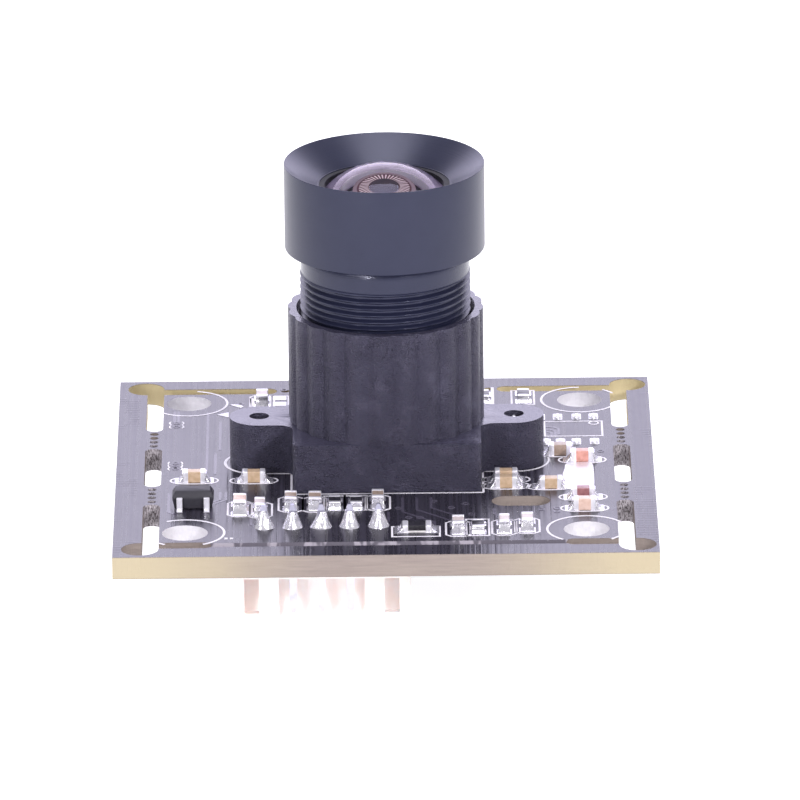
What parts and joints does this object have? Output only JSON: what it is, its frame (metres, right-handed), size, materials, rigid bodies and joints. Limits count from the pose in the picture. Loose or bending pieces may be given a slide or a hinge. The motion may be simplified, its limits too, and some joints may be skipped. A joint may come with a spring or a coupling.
{
  "type": "camera module",
  "caption": "Small square camera board with a screw-in lens in a ribbed black holder and a shrouded cable header underneath; the lens turns to focus.",
  "frame": {"origin": "centre of the four-hole mounting pattern, on the underside of the circuit board", "axes": "+Z from the board's underside up along the lens's view direction, +X to the right and +Y to the back, with the header near the front edge"},
  "size_m": [0.038, 0.038, 0.0298],
  "materials": {
    "board_mask": "glossy black solder mask with white print over pale glass-fibre laminate",
    "holder_black": "grainy moulded black plastic",
    "screw_steel": "plated steel",
    "lens_black": "satin black anodised",
    "lens_inner_black": "matt black",
    "coated_glass": "polished, violet anti-reflection coating",
    "filter_glass": "polished, pale blue infrared-cut coating",
    "sensor_ceramic": "matt dark package",
    "header_nylon": "natural cream nylon",
    "tin": "bright tin plating",
    "solder": "bright solder",
    "capacitor": "brown ceramic with tinned ends",
    "resistor": "black glaze with tinned ends",
    "chip_black": "matt black moulding compound"
  },
  "bodies": {
    "board": {"circuit_board": "board_mask", "lens_holder": "holder_black", "holder_screw_left": "screw_steel", "holder_screw_right": "screw_steel", "infrared_filter": "filter_glass", "image_sensor": "sensor_ceramic", "sensor_cover_glass": "filter_glass", "header_housing": "header_nylon", "regulator_body": "chip_black", "regulator_legs": "tin", "image_processor": "chip_black", "memory_chip_body": "chip_black", "memory_chip_legs": "tin", "crystal_can": "tin", "underside_capacitors": "capacitor", "header_pin_1": "tin", "header_pin_2": "tin", "header_pin_3": "tin", "header_pin_4": "tin", "header_pin_5": "tin", "solder_joint_1": "solder", "solder_joint_2": "solder", "solder_joint_3": "solder", "solder_joint_4": "solder", "solder_joint_5": "solder", "capacitor_1": "capacitor", "capacitor_2": "capacitor", "capacitor_3": "capacitor", "capacitor_4": "capacitor", "capacitor_5": "capacitor", "capacitor_6": "capacitor", "capacitor_7": "capacitor", "capacitor_8": "capacitor", "capacitor_9": "capacitor", "capacitor_10": "capacitor", "capacitor_11": "capacitor", "capacitor_12": "capacitor", "capacitor_13": "capacitor", "capacitor_14": "capacitor", "capacitor_15": "capacitor", "capacitor_16": "capacitor", "capacitor_17": "capacitor", "capacitor_18": "capacitor", "resistor_1": "resistor", "resistor_2": "resistor", "resistor_3": "resistor", "resistor_4": "resistor", "resistor_5": "resistor", "resistor_6": "resistor"},
    "lens_stack": {"front_element": "coated_glass", "second_element": "coated_glass", "aperture_spacer": "lens_inner_black", "third_element": "coated_glass", "rear_spacer": "lens_inner_black", "rear_element": "coated_glass", "rear_retaining_ring": "lens_inner_black"},
    "lens": {"lens_barrel": "lens_black", "front_retaining_ring": "lens_inner_black"}
  },
  "joints": [
    {"name": "focus_travel", "type": "slide", "parent": "board", "child": "lens_stack", "axis": [0, 0, 1], "range_m": [-0.001, 0.003]},
    {"name": "focus_turn", "type": "hinge", "parent": "lens_stack", "child": "lens", "pos_m": [0.00015, 0.00085, 0.0208], "axis": [0, 0, 1], "range_deg": [-720, 2160]}
  ],
  "couplings": [
    {"joint": "focus_turn", "follows": "focus_travel", "rad_per_m": 12566}
  ]
}
